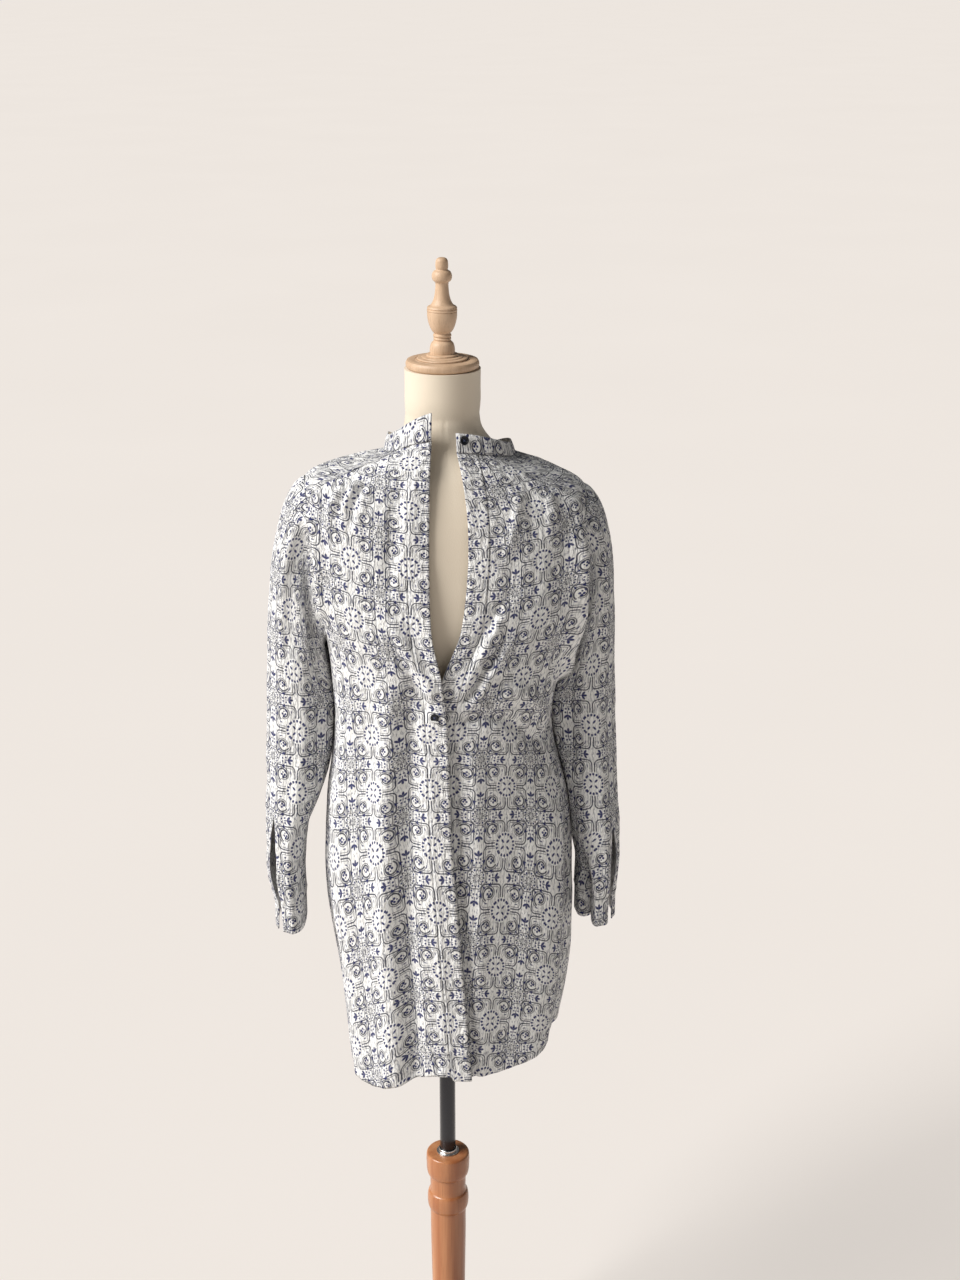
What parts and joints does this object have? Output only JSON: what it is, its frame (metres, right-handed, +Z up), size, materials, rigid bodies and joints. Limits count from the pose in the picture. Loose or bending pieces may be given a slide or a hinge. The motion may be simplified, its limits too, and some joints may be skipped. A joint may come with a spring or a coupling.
{
  "type": "printed shirt on a dress form",
  "caption": "Collarless long-sleeved printed shirt, worn open at the neck on a limbless dress form with a turned wooden stand.",
  "frame": {"origin": "centre of the base's underside", "axes": "+Z up along the pole, -Y the shirt's front, +X the wearer's left"},
  "size_m": [0.4903, 0.2954, 1.702],
  "materials": {
    "printed_cloth": "off-white plain-weave cotton with a small blue-grey floral print",
    "button": "dark satin",
    "form_cover": "smooth cream jersey",
    "pale_wood": "pale turned wood, matt",
    "steel": "bright tube",
    "stand_wood": "orange-brown turned pine, satin"
  },
  "bodies": {
    "root": {"front_right": "printed_cloth", "front_left": "printed_cloth", "back": "printed_cloth", "yoke": "printed_cloth", "collar_band": "printed_cloth", "placket_right": "printed_cloth", "placket_left": "printed_cloth", "sleeve_right": "printed_cloth", "sleeve_left": "printed_cloth", "cuff_right": "printed_cloth", "cuff_left": "printed_cloth", "button_front": "button", "button_collar": "button", "form_torso": "form_cover", "neck_cap": "pale_wood", "finial": "pale_wood", "pole": "steel", "pole_ferrule": "steel", "post": "stand_wood", "base": "stand_wood"}
  },
  "joints": []
}
